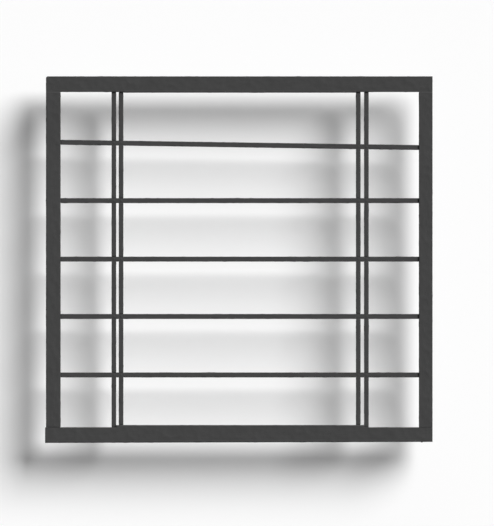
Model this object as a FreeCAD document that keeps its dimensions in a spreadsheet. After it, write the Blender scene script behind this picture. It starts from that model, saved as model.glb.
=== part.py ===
"""Wrought iron window grille: a flat frame filled with half-lapped square bars."""
import FreeCAD
import Part
import Sketcher
import os

# Driving sizes in millimetres
SIZES = (
    ("frame_width", "1000", "over the two stiles"),
    ("frame_depth", "20", "front to back, rails and stiles"),
    ("opening_height", "868.4", "between the rails, at the stiles"),
    ("left_stile_width", "37.2", "left stile, seen from the front"),
    ("right_stile_width", "34.7", "right stile, seen from the front"),
    ("top_rail_height", "40", "top rail at its ends"),
    ("top_rail_swell", "1.8", "extra metal under the top rail between the inner uprights"),
    ("bottom_rail_height", "40", "bottom rail at its left end"),
    ("bottom_rail_swell", "5.6", "extra metal on the bottom rail between the outer uprights"),
    ("bottom_rail_rise", "2.7", "rise of the bottom rail's underside towards its right end"),
    ("bottom_rail_overhang", "2.4", "bottom rail past the left stile"),
    ("top_corner_radius", "5", "rounded top left corner of the top rail"),
    ("end_corner_radius", "2", "rounded upper corner of the bottom rail's left end"),
    ("frame_arris", "0.8", "bevel of the frame's edges"),
    ("upright_width", "11.4", "uprights, seen from the front"),
    ("cross_bar_height", "12.3", "cross bars, seen from the front"),
    ("bar_depth", "12", "front to back, uprights and cross bars"),
    ("bar_arris", "0.8", "bevel of the bars' edges"),
    ("left_pane_width", "132.5", "between the left stile and the first upright"),
    ("right_pane_width", "130.6", "between the last upright and the right stile"),
    ("left_pair_gap", "7.2", "between the two left uprights"),
    ("right_pair_gap", "9.6", "between the two right uprights"),
    ("bottom_bar_rise", "135.7", "middle of the bottom cross bar above the bottom rail"),
    ("lower_bar_rise", "151.4", "middle of the lower cross bar above the bottom one"),
    ("middle_bar_rise", "148.4", "middle of the middle cross bar above the lower one"),
    ("upper_bar_rise", "151.5", "middle of the upper cross bar above the middle one"),
    ("top_bar_rise", "151.1", "left end of the top cross bar's middle above the upper one"),
    ("top_bar_fall", "13.7", "fall of the top cross bar from left to right"),
    ("tenon_diameter", "7", "round tenons on the ends of the bars"),
    ("tenon_length", "12", "round tenons on the ends of the bars"),
    ("tenon_clearance", "0.1", "round each tenon and past the end of a blind one"),
    ("stile_tenon_width", "18", "flat tenons on the ends of the stiles"),
    ("stile_tenon_depth", "10", "flat tenons on the ends of the stiles, front to back"),
    ("stile_tenon_setback", "0.3", "end of a stile tenon inside the rail's outer face"),
    ("lap_clearance", "0.1", "each side of a bar in its notch"),
    ("fixing_hole_diameter", "9", "holes through the stiles into the masonry"),
    ("fixing_hole_inset", "211", "fixing holes from the rail above or below them"),
)

doc = FreeCAD.newDocument("WindowGrille")
sheet = doc.addObject("Spreadsheet::Sheet", "Sizes")
for row, (alias, value, meaning) in enumerate(SIZES, start=1):
    sheet.set(f"A{row}", meaning)
    sheet.set(f"B{row}", value)
    sheet.setAlias(f"B{row}", alias)
doc.recompute()

# Layout lines: X from the left stile's outer face, Z from the bottom rail's upper edge
LEFT_FACE = "Sizes.left_stile_width"
RIGHT_FACE = "(Sizes.frame_width - Sizes.right_stile_width)"
CLEAR_WIDTH = "(Sizes.frame_width - Sizes.left_stile_width - Sizes.right_stile_width)"
RAIL_TOP = "(Sizes.opening_height + Sizes.top_rail_height)"
HALF_UPRIGHT = "Sizes.upright_width / 2"
LEFT_OUTER = f"({LEFT_FACE} + Sizes.left_pane_width + {HALF_UPRIGHT})"
LEFT_INNER = f"({LEFT_OUTER} + Sizes.upright_width + Sizes.left_pair_gap)"
RIGHT_OUTER = f"({RIGHT_FACE} - Sizes.right_pane_width - {HALF_UPRIGHT})"
RIGHT_INNER = f"({RIGHT_OUTER} - Sizes.upright_width - Sizes.right_pair_gap)"

# Uprights: name, middle line, level of the lower shoulder
UPRIGHTS = (
    ("upright_left_outer", LEFT_OUTER, "0"),
    ("upright_left_inner", LEFT_INNER, "Sizes.bottom_rail_swell"),
    ("upright_right_inner", RIGHT_INNER, "Sizes.bottom_rail_swell"),
    ("upright_right_outer", RIGHT_OUTER, "0"),
)

# Cross bars from the lowest up: name, rise above the one below, fall from left to right
CROSS_BARS = (
    ("cross_bar_bottom", "Sizes.bottom_bar_rise", "0"),
    ("cross_bar_lower", "Sizes.lower_bar_rise", "0"),
    ("cross_bar_middle", "Sizes.middle_bar_rise", "0"),
    ("cross_bar_upper", "Sizes.upper_bar_rise", "0"),
    ("cross_bar_top", "Sizes.top_bar_rise", "Sizes.top_bar_fall"),
)

# Two levels nearer than this, in millimetres, count as one
CLOSE = 1e-6


def number(expression):
    """Present value of an expression on the sheet."""
    return float(sheet.evalExpression(expression))


def bar_level(bar, across):
    """Level of the middle of one cross bar, counted up from the lowest, at a distance across the layout."""
    left_end = " + ".join(rise for name, rise, fall in CROSS_BARS[:bar + 1])
    name, rise, fall = CROSS_BARS[bar]
    return f"({left_end} - {fall} * ({across} - {LEFT_FACE}) / {CLEAR_WIDTH})"


def new_body(label):
    """Empty body whose layout origin is set in the library frame."""
    body = doc.addObject("PartDesign::Body", label)
    body.Label = label
    body.setExpression("Placement.Base.x", "(Sizes.bottom_rail_overhang - Sizes.frame_width) / 2")
    body.setExpression("Placement.Base.z", "Sizes.bottom_rail_height")
    return body


def new_sketch(body, name, plane, offset="0"):
    """Empty sketch on one of the body's origin planes, moved along the plane's normal."""
    sketch = body.newObject("Sketcher::SketchObject", name)
    support = [feature for feature in body.Origin.OriginFeatures if feature.Role == plane]
    sketch.AttachmentSupport = [(support[0], "")]
    sketch.MapMode = "FlatFace"
    sketch.setExpression("AttachmentOffset.Base.z", offset)
    return sketch


def dimension(sketch, constraint, expression):
    """Add a dimension and keep it equal to an expression."""
    index = sketch.addConstraint(constraint)
    sketch.setExpression(f"Constraints[{index}]", expression)


def locate(sketch, geometry, point, across, along):
    """Fix a sketch point by its two distances from the sketch's origin."""
    dimension(sketch, Sketcher.Constraint("DistanceX", -1, 1, geometry, point, number(across)), across)
    dimension(sketch, Sketcher.Constraint("DistanceY", -1, 1, geometry, point, number(along)), along)


def add_outline(sketch, corners):
    """Closed outline of straight lines through the corners."""
    first = sketch.GeometryCount
    points = [FreeCAD.Vector(number(across), number(along), 0) for across, along in corners]
    for start, end in zip(points, points[1:] + points[:1]):
        sketch.addGeometry(Part.LineSegment(start, end))
    for step in range(len(corners)):
        following = first + (step + 1) % len(corners)
        sketch.addConstraint(Sketcher.Constraint("Coincident", first + step, 2, following, 1))
    for step, (across, along) in enumerate(corners):
        locate(sketch, first + step, 1, across, along)


def add_rectangle(sketch, left, right, low, high):
    """Rectangle between two distances across and two along."""
    add_outline(sketch, ((left, low), (right, low), (right, high), (left, high)))


def add_circle(sketch, across, along, diameter):
    """Circle of a given diameter."""
    centre = FreeCAD.Vector(number(across), number(along), 0)
    circle = sketch.addGeometry(Part.Circle(centre, FreeCAD.Vector(0, 0, 1), number(diameter) / 2))
    locate(sketch, circle, 3, across, along)
    dimension(sketch, Sketcher.Constraint("Diameter", circle, number(diameter)), diameter)


def add_pad(body, name, sketch, length, reverse=False, symmetric=False):
    """Pad of a sketch."""
    pad = body.newObject("PartDesign::Pad", name)
    pad.Profile = sketch
    pad.setExpression("Length", length)
    pad.Reversed = reverse
    if symmetric:
        pad.SideType = "Symmetric"
    sketch.Visibility = False
    doc.recompute()
    return pad


def add_pocket(body, name, sketch, depth="", reverse=False):
    """Pocket of a sketch to a depth, or through all where no depth is given."""
    before = body.Shape.Volume
    pocket = body.newObject("PartDesign::Pocket", name)
    pocket.Profile = sketch
    if depth:
        pocket.setExpression("Length", depth)
    else:
        pocket.Type = "ThroughAll"
    pocket.Reversed = reverse
    sketch.Visibility = False
    doc.recompute()
    if body.Shape.Volume >= before:
        raise RuntimeError(f"{name} on {body.Label} cuts nothing")
    return pocket


def dress_edges(body, name, base, wanted, chamfer="", radius=""):
    """Chamfer or fillet on the edges of a feature that pass a test."""
    names = [f"Edge{index}" for index, edge in enumerate(base.Shape.Edges, start=1) if wanted(edge)]
    dressing = body.newObject("PartDesign::Chamfer" if chamfer else "PartDesign::Fillet", name)
    dressing.Base = (base, names)
    dressing.setExpression("Size" if chamfer else "Radius", chamfer or radius)
    doc.recompute()
    return dressing


def runs_across_depth(edge):
    """True for an edge that runs from front to back."""
    box = edge.BoundBox
    return box.YLength > box.XLength and box.YLength > box.ZLength


def is_on_a_face(edge):
    """True for an edge of the front or back face of a rail."""
    return edge.BoundBox.YLength < number("Sizes.frame_depth / 2")


def is_long(edge):
    """True for an edge longer than any end of a bar or stile."""
    return edge.Length > number("Sizes.opening_height / 2")


def blind_hole(body, name, plane, offset, places, reverse):
    """Round mortises for the tenons of the bars."""
    sketch = new_sketch(body, f"{name}_sketch", plane, offset)
    for across, along in places:
        add_circle(sketch, across, along, "Sizes.tenon_diameter + 2 * Sizes.tenon_clearance")
    add_pocket(body, name, sketch, "Sizes.tenon_length + Sizes.tenon_clearance", reverse)


def stile_mortises(body, level, reverse):
    """Flat mortises right through a rail for the two stiles."""
    sketch = new_sketch(body, f"{body.Name}_stile_mortise_sketch", "XY_Plane", level)
    half_width = "(Sizes.stile_tenon_width / 2 + Sizes.tenon_clearance)"
    half_depth = "(Sizes.stile_tenon_depth / 2 + Sizes.tenon_clearance)"
    for middle in (f"{LEFT_FACE} / 2", f"({RIGHT_FACE} + Sizes.frame_width) / 2"):
        left = f"{middle} - {half_width}"
        right = f"{middle} + {half_width}"
        add_rectangle(sketch, left, right, f"-{half_depth}", half_depth)
    add_pocket(body, f"{body.Name}_stile_mortises", sketch, "", reverse)


def rail(label, corners, round_corner, corner_radius):
    """Rail forged to an outline, with one rounded corner and bevelled edges."""
    body = new_body(label)
    outline = new_sketch(body, f"{label}_outline", "XZ_Plane")
    add_outline(outline, corners)
    stock = add_pad(body, f"{label}_stock", outline, "Sizes.frame_depth", symmetric=True)
    rounded = dress_edges(body, f"{label}_corner", stock, round_corner, radius=corner_radius)
    dress_edges(body, f"{label}_arrises", rounded, is_on_a_face, chamfer="Sizes.frame_arris")
    return body


def is_top_left(edge):
    """True for the front-to-back edge at the top left corner of the layout."""
    box = edge.BoundBox
    return runs_across_depth(edge) and box.XMax < CLOSE and box.ZMin > number(RAIL_TOP) - CLOSE


def is_sill_left(edge):
    """True for the front-to-back edge at the upper left corner of the bottom rail."""
    box = edge.BoundBox
    return runs_across_depth(edge) and box.XMax < CLOSE and abs(box.ZMin) < CLOSE


# Top rail
swell_left = f"{LEFT_INNER} + {HALF_UPRIGHT} + Sizes.lap_clearance"
swell_right = f"{RIGHT_INNER} - {HALF_UPRIGHT} - Sizes.lap_clearance"
swell_level = "Sizes.opening_height - Sizes.top_rail_swell"
top_rail = rail(
    "top_rail",
    (
        ("0", "Sizes.opening_height"),
        (swell_left, "Sizes.opening_height"),
        (swell_left, swell_level),
        (swell_right, swell_level),
        (swell_right, "Sizes.opening_height"),
        ("Sizes.frame_width", "Sizes.opening_height"),
        ("Sizes.frame_width", RAIL_TOP),
        ("0", RAIL_TOP),
    ),
    is_top_left,
    "Sizes.top_corner_radius",
)
stile_mortises(top_rail, "Sizes.opening_height", True)
heads = [(middle, "0") for name, middle, foot in UPRIGHTS]
blind_hole(top_rail, "top_rail_mortises", "XY_Plane", "Sizes.opening_height", heads, True)

# Bottom rail
swell_left = f"{LEFT_OUTER} + {HALF_UPRIGHT} + Sizes.lap_clearance"
swell_right = f"{RIGHT_OUTER} - {HALF_UPRIGHT} - Sizes.lap_clearance"
bottom_rail = rail(
    "bottom_rail",
    (
        ("-Sizes.bottom_rail_overhang", "0"),
        (swell_left, "0"),
        (swell_left, "Sizes.bottom_rail_swell"),
        (swell_right, "Sizes.bottom_rail_swell"),
        (swell_right, "0"),
        ("Sizes.frame_width", "0"),
        ("Sizes.frame_width", "Sizes.bottom_rail_rise - Sizes.bottom_rail_height"),
        ("-Sizes.bottom_rail_overhang", "-Sizes.bottom_rail_height"),
    ),
    is_sill_left,
    "Sizes.end_corner_radius",
)
stile_mortises(bottom_rail, "0", False)
for label, middle, foot in UPRIGHTS:
    blind_hole(bottom_rail, f"mortise_{label}", "XY_Plane", foot, ((middle, "0"),), False)


def stile(label, left, right, inner_face, into_right):
    """Stile with a flat tenon at each end, mortises for the cross bars and fixing holes."""
    body = new_body(label)
    middle = f"({left} + {right}) / 2"
    section = new_sketch(body, f"{label}_section", "XY_Plane")
    add_rectangle(section, left, right, "-Sizes.frame_depth / 2", "Sizes.frame_depth / 2")
    stock = add_pad(body, f"{label}_stock", section, "Sizes.opening_height")
    dress_edges(body, f"{label}_arrises", stock, is_long, chamfer="Sizes.frame_arris")
    run = f"({middle} + Sizes.bottom_rail_overhang) / (Sizes.frame_width + Sizes.bottom_rail_overhang)"
    rail_here = f"Sizes.bottom_rail_height - Sizes.bottom_rail_rise * {run}"
    ends = (
        ("foot_tenon", "0", f"{rail_here} - Sizes.stile_tenon_setback", True),
        ("head_tenon", "Sizes.opening_height", "Sizes.top_rail_height - Sizes.stile_tenon_setback", False),
    )
    for name, level, length, downwards in ends:
        sketch = new_sketch(body, f"{label}_{name}_sketch", "XY_Plane", level)
        tenon_left = f"{middle} - Sizes.stile_tenon_width / 2"
        tenon_right = f"{middle} + Sizes.stile_tenon_width / 2"
        half_depth = "Sizes.stile_tenon_depth / 2"
        add_rectangle(sketch, tenon_left, tenon_right, f"-{half_depth}", half_depth)
        add_pad(body, f"{label}_{name}", sketch, length, downwards)
    levels = [("0", bar_level(bar, inner_face)) for bar in range(len(CROSS_BARS))]
    blind_hole(body, f"{label}_mortises", "YZ_Plane", inner_face, levels, into_right)
    holes = new_sketch(body, f"{label}_fixing_sketch", "YZ_Plane", left)
    for level in ("Sizes.fixing_hole_inset", "Sizes.opening_height - Sizes.fixing_hole_inset"):
        add_circle(holes, "0", level, "Sizes.fixing_hole_diameter")
    add_pocket(body, f"{label}_fixing_holes", holes, "", True)


stile("left_stile", "0", LEFT_FACE, LEFT_FACE, False)
stile("right_stile", RIGHT_FACE, "Sizes.frame_width", RIGHT_FACE, True)

# Uprights, notched on the front
for label, middle, foot in UPRIGHTS:
    body = new_body(label)
    section = new_sketch(body, f"{label}_section", "XY_Plane", foot)
    left = f"{middle} - {HALF_UPRIGHT}"
    right = f"{middle} + {HALF_UPRIGHT}"
    add_rectangle(section, left, right, "-Sizes.bar_depth / 2", "Sizes.bar_depth / 2")
    stock = add_pad(body, f"{label}_stock", section, f"Sizes.opening_height - {foot}")
    dress_edges(body, f"{label}_arrises", stock, is_long, chamfer="Sizes.bar_arris")
    for name, level, downwards in (("foot", foot, True), ("head", "Sizes.opening_height", False)):
        sketch = new_sketch(body, f"{label}_{name}_sketch", "XY_Plane", level)
        add_circle(sketch, middle, "0", "Sizes.tenon_diameter")
        add_pad(body, f"{label}_{name}_tenon", sketch, "Sizes.tenon_length", downwards)
    laps = new_sketch(body, f"{label}_lap_sketch", "XZ_Plane")
    half_notch = "(Sizes.cross_bar_height / 2 + Sizes.lap_clearance)"
    wide_left = f"{middle} - Sizes.upright_width"
    wide_right = f"{middle} + Sizes.upright_width"
    for bar in range(len(CROSS_BARS)):
        level_left = bar_level(bar, f"({wide_left})")
        level_right = bar_level(bar, f"({wide_right})")
        corners = (
            (wide_left, f"{level_left} - {half_notch}"),
            (wide_right, f"{level_right} - {half_notch}"),
            (wide_right, f"{level_right} + {half_notch}"),
            (wide_left, f"{level_left} + {half_notch}"),
        )
        add_outline(laps, corners)
    add_pocket(body, f"{label}_laps", laps, "", True)

# Cross bars, notched on the back
for bar, (label, rise, fall) in enumerate(CROSS_BARS):
    body = new_body(label)
    level_left = bar_level(bar, LEFT_FACE)
    level_right = bar_level(bar, RIGHT_FACE)
    half_bar = "Sizes.cross_bar_height / 2"
    outline = new_sketch(body, f"{label}_outline", "XZ_Plane")
    corners = (
        (LEFT_FACE, f"{level_left} - {half_bar}"),
        (RIGHT_FACE, f"{level_right} - {half_bar}"),
        (RIGHT_FACE, f"{level_right} + {half_bar}"),
        (LEFT_FACE, f"{level_left} + {half_bar}"),
    )
    add_outline(outline, corners)
    stock = add_pad(body, f"{label}_stock", outline, "Sizes.bar_depth", symmetric=True)
    dress_edges(body, f"{label}_arrises", stock, is_long, chamfer="Sizes.bar_arris")
    for name, face, level, leftwards in (
        ("left", LEFT_FACE, level_left, True),
        ("right", RIGHT_FACE, level_right, False),
    ):
        sketch = new_sketch(body, f"{label}_{name}_sketch", "YZ_Plane", face)
        add_circle(sketch, "0", level, "Sizes.tenon_diameter")
        add_pad(body, f"{label}_{name}_tenon", sketch, "Sizes.tenon_length", leftwards)
    laps = new_sketch(body, f"{label}_lap_sketch", "XZ_Plane")
    half_notch = f"({HALF_UPRIGHT} + Sizes.lap_clearance)"
    for name, middle, foot in UPRIGHTS:
        level = bar_level(bar, middle)
        low = f"{level} - Sizes.cross_bar_height"
        high = f"{level} + Sizes.cross_bar_height"
        add_rectangle(laps, f"{middle} - {half_notch}", f"{middle} + {half_notch}", low, high)
    add_pocket(body, f"{label}_laps", laps, "", False)

# Check every object, then write one file for each piece
for item in doc.Objects:
    if "Invalid" in item.State or "Error" in item.State:
        raise RuntimeError(f"{item.Name} did not compute: {item.State}")
pieces = [item for item in doc.Objects if item.TypeId == "PartDesign::Body"]
for piece in pieces:
    if piece.Shape.isNull() or not piece.Shape.isValid():
        raise RuntimeError(f"{piece.Label} has no valid shape")
os.makedirs("parts", exist_ok=True)
for piece in pieces:
    piece.Shape.exportStep(f"parts/{piece.Label}.step")
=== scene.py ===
"""Looks of the wrought iron window grille: hammered, brush-painted bars in front of a pale wall."""
import math

import bmesh
import bpy
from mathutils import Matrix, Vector, noise
from mathutils.bvhtree import BVHTree
from mathutils.kdtree import KDTree


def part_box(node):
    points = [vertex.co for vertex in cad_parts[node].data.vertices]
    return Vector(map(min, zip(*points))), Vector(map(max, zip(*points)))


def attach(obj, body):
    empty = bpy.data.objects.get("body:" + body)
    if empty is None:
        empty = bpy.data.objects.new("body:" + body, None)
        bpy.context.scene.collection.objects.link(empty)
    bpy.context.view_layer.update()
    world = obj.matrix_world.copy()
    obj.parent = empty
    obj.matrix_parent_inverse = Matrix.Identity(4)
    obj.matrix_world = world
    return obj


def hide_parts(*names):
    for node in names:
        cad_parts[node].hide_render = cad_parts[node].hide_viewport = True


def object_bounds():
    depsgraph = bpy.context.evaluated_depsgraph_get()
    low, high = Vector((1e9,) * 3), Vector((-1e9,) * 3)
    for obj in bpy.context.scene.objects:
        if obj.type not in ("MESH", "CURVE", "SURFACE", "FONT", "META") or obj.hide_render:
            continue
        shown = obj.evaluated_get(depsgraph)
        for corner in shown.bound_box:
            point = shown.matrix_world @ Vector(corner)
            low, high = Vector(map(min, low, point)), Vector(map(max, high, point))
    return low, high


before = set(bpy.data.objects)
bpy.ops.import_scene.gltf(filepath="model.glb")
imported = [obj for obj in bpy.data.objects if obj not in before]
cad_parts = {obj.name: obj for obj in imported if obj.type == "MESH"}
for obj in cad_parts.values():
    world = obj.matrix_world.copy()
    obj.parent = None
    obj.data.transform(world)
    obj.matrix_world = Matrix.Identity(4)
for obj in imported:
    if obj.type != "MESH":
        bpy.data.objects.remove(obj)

cad_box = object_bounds()

# Pieces of the CAD model by the way they run
LEVEL_NODES = (
    "top_rail",
    "bottom_rail",
    "cross_bar_top",
    "cross_bar_upper",
    "cross_bar_middle",
    "cross_bar_lower",
    "cross_bar_bottom",
)
UPRIGHT_NODES = (
    "left_stile",
    "right_stile",
    "upright_left_outer",
    "upright_left_inner",
    "upright_right_inner",
    "upright_right_outer",
)
CROSS_BARS = LEVEL_NODES[2:]
UPRIGHTS = UPRIGHT_NODES[2:]

# Pixels of the photograph: its size, the edges that set its scale and place, and a run of paint
PHOTO_WIDTH = 494
PHOTO_HEIGHT = 526
STILE_LEFT_PIXEL = 46.07
STILE_RIGHT_PIXEL = 432.48
RAIL_BOTTOM_PIXEL = 442.86
RUN_PIXEL = 421.9

# Directions
RIGHT = Vector((1, 0, 0))
DEPTH = Vector((0, 1, 0))
UP = Vector((0, 0, 1))

# Net of a forged bar, in metres: steps between cuts, the arris, the flat held beside it, and the snap
ALONG_STEP = 0.003
ACROSS_STEP = 0.003
ARRIS = 0.0008
HOLD = 0.0005
SNAP = 1e-6

# Broad faces: their least area in square metres, and the digits that tell their planes apart
SKIN_AREA = 4e-4
PLANE_DIGITS = 4

# Angles up to which faces count as one flat, and edges as smooth
FLAT_ANGLE = math.radians(0.5)
SHARP_ANGLE = math.radians(60)

# Hammer work, in metres; it fades out towards the arrises, which are nicked and rubbed
BLOW_SIZE = 0.015
BLOW_RELIEF = 0.001
WAVE_LENGTH = 0.07
WAVE_RELIEF = 0.00025
FADE_REACH = 0.004
NICK_LENGTH = 0.014
NICK_DEPTH = 0.0004
RUB_REACH = 0.0016

# Attribute that tells the paint where the arrises are rubbed
RUBBED = "rubbed"

# Mean height of a dish left by a blow, and how nearly a flat face's normal keeps to an axis of the bar
MEAN_DISH = 0.33
FACE_LIKENESS = 0.98

# Span in which another bar covers a skin, in metres: from under the skin, and its length
COVER_START = 0.0002
COVER_REACH = 0.002

# How near another bar keeps an arris from being nicked, in metres
JOINT_REACH = 0.002

# Thickness of the paint, and how far it sinks in the grooves where a stile meets a rail, in metres
COAT = 0.00025
GROOVE_SINK = 0.00008

# Where a rail's level is read, in metres: beside the stile, and looking from outside the grille
BESIDE_STILE = 0.004
LOOK_REACH = 2

# Rivets through the lapped bars, in metres, and the sides and rings of their nets
RIVET_RADIUS = 0.0034
RIVET_CROWN = 0.0007
RIVET_ROOT = 0.0006
RIVET_SIDES = 32
RIVET_RINGS = 8
PEEN_SIZE = 0.0022
PEEN_RELIEF = 0.00012

# Seed of the rivets' noise
SEED = 1

# Run of paint under the bottom rail, in metres, and the sides and rings of its net
RUN_RADIUS = 0.0024
RUN_DROP = 0.0016
RUN_INSET = 0.0048
RUN_SIDES = 24
RUN_RINGS = 8

# Paint: stops of (tone, grey) from the darkest paint to a rubbed arris, and the gloss over those tones
PAINT_SHADES = ((0.3, 0.0445), (0.7, 0.0515), (1, 0.064))
PAINT_TONES = (0.3, 1)
PAINT_ROUGHNESS = (0.62, 0.4)
PAINT_SPECULAR = 0.07

# Brush streaks to the metre along and across the bars
STREAK_LENGTHS = 24
STREAK_WIDTHS = 480

# Noise in the paint as (scale, detail), and the share of the streaks in its tone
CLOUDS = (28, 4)
STREAKS = (1, 4)
GRAIN = (900, 2)
NOISE_ROUGHNESS = 0.55
STREAK_SHARE = 0.45

# Clouds over which the arrises go from covered to rubbed
RUBBED_CLOUDS = (0.4, 0.6)

# Pits to the metre, and their slope from bottom to rim as a part of that spacing
PITS = 150
PIT_SLOPE = (0, 0.25)

# Bumps of the paint as (strength, height in metres)
GRAIN_BUMP = (0.5, 0.0004)
PIT_BUMP = (0.6, 0.0005)
STREAK_BUMP = (0.4, 0.0004)

# Camera: lens and sensor in millimetres, and how far it sees in metres
LENS = 800
SENSOR = 36
SIGHT = 100

# Stage, in metres
WALL = 0.1
WALL_TOP = 6
FLOOR = -0.5
STAGE_REACH = 14
STAGE_COLOUR = 0.95

# Light: a soft key from the upper right, a top light and a faint sky
KEY_DIRECTION = Vector((0.98, -1, 0.92))
KEY_ANGLE = math.radians(36)
KEY_STRENGTH = 5.25
TOP_ANGLE = math.radians(20)
TOP_STRENGTH = 0.9
AMBIENT = 0.02


def middle(node):
    """Middle of a CAD node's box."""
    low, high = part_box(node)
    return (low + high) / 2


def size(node):
    """Sides of a CAD node's box."""
    low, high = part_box(node)
    return high - low


# Inner faces of the stiles, and the height of a level cross bar
LEFT_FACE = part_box("left_stile")[1].x
RIGHT_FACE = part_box("right_stile")[0].x
BAR_HEIGHT = size("cross_bar_middle").z


def run_of(node):
    """Unit vector along a bar; a cross bar whose box is too high falls to the right."""
    if node in UPRIGHT_NODES:
        return UP
    if node in CROSS_BARS:
        return Vector((RIGHT_FACE - LEFT_FACE, 0, BAR_HEIGHT - size(node).z)).normalized()
    return RIGHT


def level(node, across):
    """Height of a cross bar's middle line at a distance across."""
    run = run_of(node)
    return middle(node).z + (across - (LEFT_FACE + RIGHT_FACE) / 2) * run.z / run.x


def link(name, net, material):
    """New object from an edit mesh, smooth but for its sharp edges."""
    mesh = bpy.data.meshes.new(name)
    net.to_mesh(mesh)
    net.free()
    mesh.shade_smooth()
    mesh.set_sharp_from_angle(angle=SHARP_ANGLE)
    mesh.materials.append(material)
    item = bpy.data.objects.new(name, mesh)
    bpy.context.scene.collection.objects.link(item)
    return item


def add_piece(name, net, material, *replaced):
    """Piece of the grille, standing for CAD nodes where it replaces any."""
    piece = link(name, net, material)
    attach(piece, "root")
    if replaced:
        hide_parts(*replaced)


# Forged bars


def cut(net, faces, direction, offsets):
    """Cut faces by planes square to a direction, at rising distances from the origin."""
    if not offsets or not faces:
        return
    half = len(offsets) // 2
    offset = offsets[half]
    edges = {edge for face in faces for edge in face.edges}
    verts = {vert for edge in edges for vert in edge.verts}
    cut_geometry = bmesh.ops.bisect_plane(
        net,
        geom=[*faces, *edges, *verts],
        dist=SNAP,
        plane_co=direction * offset,
        plane_no=direction,
    )["geom"]
    sides = ([], [])
    for face in cut_geometry:
        if isinstance(face, bmesh.types.BMFace):
            sides[face.calc_center_median().dot(direction) > offset].append(face)
    cut(net, sides[0], direction, offsets[:half])
    cut(net, sides[1], direction, offsets[half + 1:])


def even_cuts(net, direction, spacing):
    """Cut a mesh by evenly spaced planes square to a direction."""
    reach = [vert.co.dot(direction) for vert in net.verts]
    low = min(reach)
    span = max(reach) - low
    count = round(span / spacing)
    cut(net, net.faces[:], direction, [low + span * step / count for step in range(1, count)])


def broad_planes(net):
    """Outward direction and distance from the origin of each broad flat face, each plane once."""
    planes = {}
    for face in net.faces:
        if face.calc_area() > SKIN_AREA:
            offset = face.verts[0].co.dot(face.normal)
            key = tuple(round(value, PLANE_DIGITS) for value in (*face.normal, offset))
            planes[key] = (face.normal.copy(), offset)
    return planes.values()


def relief(point):
    """Height of the hammered skin over the flat face at a point, nought on the whole."""
    dish = noise.voronoi(point / BLOW_SIZE)[0][0] ** 2 - MEAN_DISH
    return BLOW_RELIEF * dish + WAVE_RELIEF * noise.noise(point / WAVE_LENGTH)


def nick(point):
    """Depth of the wear on an arris at a point."""
    return NICK_DEPTH * max(0, noise.noise(point / NICK_LENGTH)) ** 2


def smooth_step(share):
    """Rise from 0 to 1 that is level at both ends."""
    held = min(1, share)
    return held ** 2 * (3 - 2 * held)


def on_arris(vert, axes):
    """Whether a point's normal keeps to none of a bar's axes."""
    return max(abs(vert.normal.dot(axis)) for axis in axes) < FACE_LIKENESS


def solids_around(node):
    """Search tree of every CAD node but one."""
    net = bmesh.new()
    for name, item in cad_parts.items():
        if name != node:
            net.from_mesh(item.data)
    tree = BVHTree.FromBMesh(net)
    net.free()
    return tree


def hammer(net, axes, neighbours):
    """Give a bar's net its paint, relief, nicks and rubbed arrises wherever no other bar covers it."""
    rubbed = net.verts.layers.float.new(RUBBED)
    net.normal_update()
    arrises = [vert for vert in net.verts if on_arris(vert, axes)]
    tree = KDTree(len(arrises))
    for index, vert in enumerate(arrises):
        tree.insert(vert.co, index)
    tree.balance()
    moves = {}
    for vert in net.verts:
        behind = vert.co - vert.normal * COVER_START
        if neighbours.ray_cast(behind, vert.normal, COVER_REACH)[0] is None:
            distance = tree.find(vert.co)[2]
            moves[vert] = COAT + relief(vert.co) * smooth_step(distance / FADE_REACH)
            vert[rubbed] = max(0, 1 - distance / RUB_REACH)
    for vert in arrises:
        if vert in moves and neighbours.find_nearest(vert.co, JOINT_REACH)[0] is None:
            moves[vert] = COAT - nick(vert.co)
    for vert, height in moves.items():
        vert.co += vert.normal * height


def forge(node, material):
    """Fine net of a CAD bar, closer at its arrises, hammered where no other bar covers it."""
    net = bmesh.new()
    net.from_mesh(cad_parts[node].data)
    bmesh.ops.remove_doubles(net, verts=net.verts[:], dist=SNAP)
    bmesh.ops.dissolve_limit(net, angle_limit=FLAT_ANGLE, verts=net.verts[:], edges=net.edges[:])
    skins = broad_planes(net)
    along = run_of(node)
    sideways = along.cross(DEPTH)
    even_cuts(net, along, ALONG_STEP)
    for outwards, offset in skins:
        cut(net, net.faces[:], outwards, [offset - ARRIS - HOLD])
    even_cuts(net, sideways, ACROSS_STEP)
    even_cuts(net, DEPTH, ACROSS_STEP)
    hammer(net, (along, sideways, DEPTH), solids_around(node))
    add_piece(f"{node}_forged", net, material, node)


# Paint and small turned forms


def bridge(net, lower, upper):
    """Band of faces between two rings of points."""
    for step in range(len(lower)):
        following = (step + 1) % len(lower)
        net.faces.new((lower[step], lower[following], upper[following], upper[step]))


def rail_level(node, across, outwards):
    """Level of a rail's upper or lower face at a distance across, looking against a direction."""
    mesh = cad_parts[node].data
    corners = [vert.co for vert in mesh.vertices]
    faces = [face.vertices for face in mesh.polygons]
    start = RIGHT * across + outwards * LOOK_REACH
    return BVHTree.FromPolygons(corners, faces).ray_cast(start, -outwards)[0].z


def fill_groove(net, start, end, rail_wards, inwards):
    """Three-sided strip of paint along a groove, from start to end at its outer corner."""
    face = inwards * (GROOVE_SINK - COAT)
    section = [face, face + rail_wards * ARRIS, inwards * ARRIS]
    ends = [[net.verts.new(point + offset) for offset in section] for point in (start, end)]
    bridge(net, *ends)
    net.faces.new(ends[0])
    net.faces.new(list(reversed(ends[1])))


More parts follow.
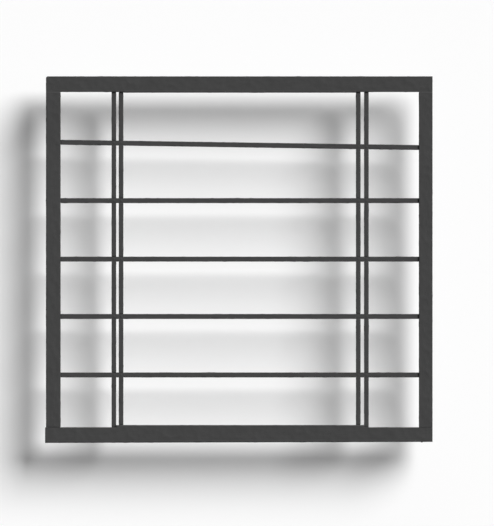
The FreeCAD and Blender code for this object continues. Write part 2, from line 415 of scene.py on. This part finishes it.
def corner_paint(material):
    """Paint that fills the four corner joints of the frame, front and back."""
    net = bmesh.new()
    sill = rail_level("bottom_rail", LEFT_FACE + BESIDE_STILE, UP)
    head = rail_level("top_rail", LEFT_FACE + BESIDE_STILE, -UP)
    for stile in ("left_stile", "right_stile"):
        low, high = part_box(stile)
        for height, rail_wards in ((sill, -UP), (head, UP)):
            for face, inwards in ((low.y, DEPTH), (high.y, -DEPTH)):
                start = Vector((low.x + ARRIS, face, height))
                end = Vector((high.x - ARRIS, face, height))
                fill_groove(net, start, end, rail_wards, inwards)
    bmesh.ops.recalc_face_normals(net, faces=net.faces[:])
    add_piece("corner_paint", net, material)


def turned(net, centre, axis, profile, sides):
    """Cap turned about an axis from a profile of (radius, height) that ends on the axis."""
    side = axis.orthogonal().normalized()
    other = axis.cross(side)
    turns = [2 * math.pi * step / sides for step in range(sides)]
    spokes = [side * math.cos(turn) + other * math.sin(turn) for turn in turns]
    rings = []
    for radius, height in profile[:-1]:
        rings.append([net.verts.new(centre + axis * height + spoke * radius) for spoke in spokes])
    tip = net.verts.new(centre + axis * profile[-1][1])
    for lower, upper in zip(rings, rings[1:]):
        bridge(net, lower, upper)
    for step in range(sides):
        net.faces.new((rings[-1][step], rings[-1][(step + 1) % sides], tip))
    net.faces.new(list(reversed(rings[0])))


def dome(radius, root, crown, rings):
    """Profile of a low dome on a short root that is sunk in what carries it."""
    turns = [math.pi / 2 * step / rings for step in range(rings + 1)]
    return [(radius, -root)] + [(radius * math.cos(turn), crown * math.sin(turn)) for turn in turns]


def peened(radius, root, crown, rings):
    """Profile of a rivet end that is hammered out flat at its rim."""
    shares = [1 - step / rings for step in range(rings + 1)]
    return [(radius, -root)] + [(radius * share, crown * (1 - share ** 2)) for share in shares]


def rivets(material):
    """Hammered rivet ends on both faces of each lapped crossing."""
    net = bmesh.new()
    profile = peened(RIVET_RADIUS, RIVET_ROOT, RIVET_CROWN, RIVET_RINGS)
    front, back = (corner.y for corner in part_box("cross_bar_middle"))
    for upright in UPRIGHTS:
        across = middle(upright).x
        for bar in CROSS_BARS:
            height = level(bar, across)
            turned(net, Vector((across, front - COAT, height)), -DEPTH, profile, RIVET_SIDES)
            turned(net, Vector((across, back + COAT, height)), DEPTH, profile, RIVET_SIDES)
    for vert in net.verts:
        vert.co += noise.noise_vector(vert.co / PEEN_SIZE) * PEEN_RELIEF
    add_piece("lap_rivets", net, material)


def paint_run(material, across):
    """Dried drop of paint under the bottom rail."""
    net = bmesh.new()
    profile = dome(RUN_RADIUS, RUN_DROP, RUN_DROP, RUN_RINGS)
    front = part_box("bottom_rail")[0].y
    underside = rail_level("bottom_rail", across, -UP) - COAT
    turned(net, Vector((across, front + RUN_INSET, underside)), -UP, profile, RUN_SIDES)
    add_piece("paint_run", net, material)


# Materials


def grey(value):
    """Opaque grey."""
    return (value, value, value, 1)


class Nodes:
    """Shorthand for making and joining the nodes of one material or world."""

    def __init__(self, owner):
        owner.use_nodes = True
        self.tree = owner.node_tree
        self.tree.nodes.clear()

    def add(self, kind, settings=(), values=(), links=()):
        """Node with properties, input values and (input, output socket) links."""
        node = self.tree.nodes.new(kind)
        for name, value in settings:
            setattr(node, name, value)
        for name, value in values:
            node.inputs[name].default_value = value
        for name, socket in links:
            self.tree.links.new(socket, node.inputs[name])
        return node

    def noise(self, place, scale, detail):
        """Noise from 0 to 1."""
        values = [("Scale", scale), ("Detail", detail), ("Roughness", NOISE_ROUGHNESS)]
        return self.add("ShaderNodeTexNoise", values=values, links=[("Vector", place)]).outputs["Fac"]

    def math(self, operation, first, second):
        """Product, maximum or the like of two values."""
        node = self.add("ShaderNodeMath", settings=[("operation", operation)])
        self.tree.links.new(first, node.inputs[0])
        self.tree.links.new(second, node.inputs[1])
        return node.outputs["Value"]

    def shades(self, value, stops):
        """Grey that a value picks from stops of (value, shade)."""
        node = self.add("ShaderNodeValToRGB", links=[("Fac", value)])
        elements = node.color_ramp.elements
        while len(elements) < len(stops):
            elements.new(1)
        for element, (position, shade) in zip(elements, stops):
            element.position = position
            element.color = grey(shade)
        return node.outputs["Color"]

    def ramp(self, value, source=(0, 1), target=(0, 1)):
        """Value carried from one range to another."""
        limits = zip(("From Min", "From Max", "To Min", "To Max"), (*source, *target))
        return self.add("ShaderNodeMapRange", values=limits, links=[("Value", value)]).outputs["Result"]

    def bump(self, height, strength, distance, base=None):
        """Bumped normal on top of another one."""
        links = [("Height", height)] + ([("Normal", base)] if base else [])
        values = [("Strength", strength), ("Distance", distance)]
        return self.add("ShaderNodeBump", values=values, links=links).outputs["Normal"]


def painted_iron(name, stretch):
    """Matt dark grey paint, brushed along the bars and rubbed at the arrises, on pitted forged iron."""
    material = bpy.data.materials.new(name)
    nodes = Nodes(material)
    place = nodes.add("ShaderNodeTexCoord").outputs["Object"]
    streak_place = nodes.add("ShaderNodeMapping", values=[("Scale", stretch)], links=[("Vector", place)])
    cloud = nodes.noise(place, *CLOUDS)
    streak = nodes.noise(streak_place.outputs["Vector"], *STREAKS)
    grain = nodes.noise(place, *GRAIN)
    pit = nodes.add("ShaderNodeTexVoronoi", values=[("Scale", PITS)], links=[("Vector", place)])
    coat = nodes.add(
        "ShaderNodeMix",
        values=[("Factor", STREAK_SHARE)],
        links=[("A", cloud), ("B", streak)],
    )
    rubbed = nodes.add("ShaderNodeAttribute", settings=[("attribute_name", RUBBED)]).outputs["Fac"]
    wear = nodes.math("MULTIPLY", rubbed, nodes.ramp(cloud, source=RUBBED_CLOUDS))
    tone = nodes.math("MAXIMUM", coat.outputs["Result"], wear)
    fine = nodes.bump(grain, *GRAIN_BUMP)
    pitted = nodes.bump(nodes.ramp(pit.outputs["Distance"], source=PIT_SLOPE), *PIT_BUMP, fine)
    brushed = nodes.bump(streak, *STREAK_BUMP, pitted)
    shader = nodes.add(
        "ShaderNodeBsdfPrincipled",
        values=[("Metallic", 0), ("Specular IOR Level", PAINT_SPECULAR)],
        links=[
            ("Base Color", nodes.shades(tone, PAINT_SHADES)),
            ("Roughness", nodes.ramp(tone, PAINT_TONES, PAINT_ROUGHNESS)),
            ("Normal", brushed),
        ],
    )
    nodes.add("ShaderNodeOutputMaterial", links=[("Surface", shader.outputs["BSDF"])])
    return material


def pale_stage():
    """Plain pale surface that is clear to a camera behind it."""
    material = bpy.data.materials.new("pale_stage")
    nodes = Nodes(material)
    behind = nodes.add("ShaderNodeNewGeometry").outputs["Backfacing"]
    seen = nodes.add("ShaderNodeLightPath").outputs["Is Camera Ray"]
    paint = nodes.add("ShaderNodeBsdfDiffuse", values=[("Color", grey(STAGE_COLOUR))])
    glass = nodes.add("ShaderNodeBsdfTransparent")
    mix = nodes.add("ShaderNodeMixShader", links=[("Fac", nodes.math("MULTIPLY", behind, seen))])
    nodes.tree.links.new(paint.outputs["BSDF"], mix.inputs[1])
    nodes.tree.links.new(glass.outputs["BSDF"], mix.inputs[2])
    nodes.add("ShaderNodeOutputMaterial", links=[("Surface", mix.outputs["Shader"])])
    return material


# Stage, light and camera


def add_plane(name, corners, material):
    """Flat part of the stage."""
    net = bmesh.new()
    net.faces.new([net.verts.new(corner) for corner in corners])
    item = link(name, net, material)
    return item


def add_stage():
    """Wall behind the grille and floor below it; the floor throws no light back on the wall."""
    material = pale_stage()
    left, right = (-STAGE_REACH, STAGE_REACH)
    wall = ((left, WALL, FLOOR), (right, WALL, FLOOR), (right, WALL, WALL_TOP), (left, WALL, WALL_TOP))
    floor = (
        (left, -STAGE_REACH, FLOOR),
        (right, -STAGE_REACH, FLOOR),
        (right, WALL, FLOOR),
        (left, WALL, FLOOR),
    )
    add_plane("wall", wall, material)
    add_plane("floor", floor, material).visible_diffuse = False


def add_sun(name, towards, angle, strength):
    """Soft sun that shines from a direction."""
    data = bpy.data.lights.new(name, "SUN")
    data.angle = angle
    data.energy = strength
    lamp = bpy.data.objects.new(name, data)
    lamp.rotation_euler = towards.to_track_quat("Z", "Y").to_euler()
    bpy.context.scene.collection.objects.link(lamp)


def add_world():
    """White to the camera and in reflections, dim as a light."""
    world = bpy.data.worlds.new("studio")
    bpy.context.scene.world = world
    nodes = Nodes(world)
    rays = nodes.add("ShaderNodeLightPath").outputs
    mirrored = nodes.math("MAXIMUM", rays["Is Glossy Ray"], rays["Is Transmission Ray"])
    seen = nodes.math("MAXIMUM", rays["Is Camera Ray"], mirrored)
    strength = nodes.ramp(seen, target=(AMBIENT, 1))
    sky = nodes.add("ShaderNodeBackground", values=[("Color", grey(1))], links=[("Strength", strength)])
    nodes.add("ShaderNodeOutputWorld", links=[("Surface", sky.outputs["Background"])])


def add_camera(scale, left_edge):
    """Camera straight in front, framed as the photograph."""
    data = bpy.data.cameras.new("camera")
    data.lens = LENS
    data.sensor_width = SENSOR
    data.clip_end = SIGHT
    across = left_edge + (PHOTO_WIDTH / 2 - STILE_LEFT_PIXEL) * scale
    height = (RAIL_BOTTOM_PIXEL - PHOTO_HEIGHT / 2) * scale
    distance = PHOTO_HEIGHT * scale * LENS / SENSOR
    camera = bpy.data.objects.new("camera", data)
    camera.location = (across, cad_box[0].y - distance, height)
    camera.rotation_euler = (math.pi / 2, 0, 0)
    bpy.context.scene.collection.objects.link(camera)
    bpy.context.scene.camera = camera


# Build the grille and its stage
noise.seed_set(SEED)
stile_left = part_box("left_stile")[0].x
stile_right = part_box("right_stile")[1].x
photo_scale = (stile_right - stile_left) / (STILE_RIGHT_PIXEL - STILE_LEFT_PIXEL)
level_paint = painted_iron("painted_iron_level", (STREAK_LENGTHS, STREAK_WIDTHS, STREAK_WIDTHS))
upright_paint = painted_iron("painted_iron_upright", (STREAK_WIDTHS, STREAK_WIDTHS, STREAK_LENGTHS))
for node in LEVEL_NODES:
    forge(node, level_paint)
for node in UPRIGHT_NODES:
    forge(node, upright_paint)
corner_paint(level_paint)
rivets(level_paint)
paint_run(level_paint, stile_left + (RUN_PIXEL - STILE_LEFT_PIXEL) * photo_scale)
add_stage()
add_sun("key", KEY_DIRECTION, KEY_ANGLE, KEY_STRENGTH)
add_sun("top", UP, TOP_ANGLE, TOP_STRENGTH)
add_world()
add_camera(photo_scale, stile_left)
bpy.context.scene.view_settings.view_transform = "Standard"
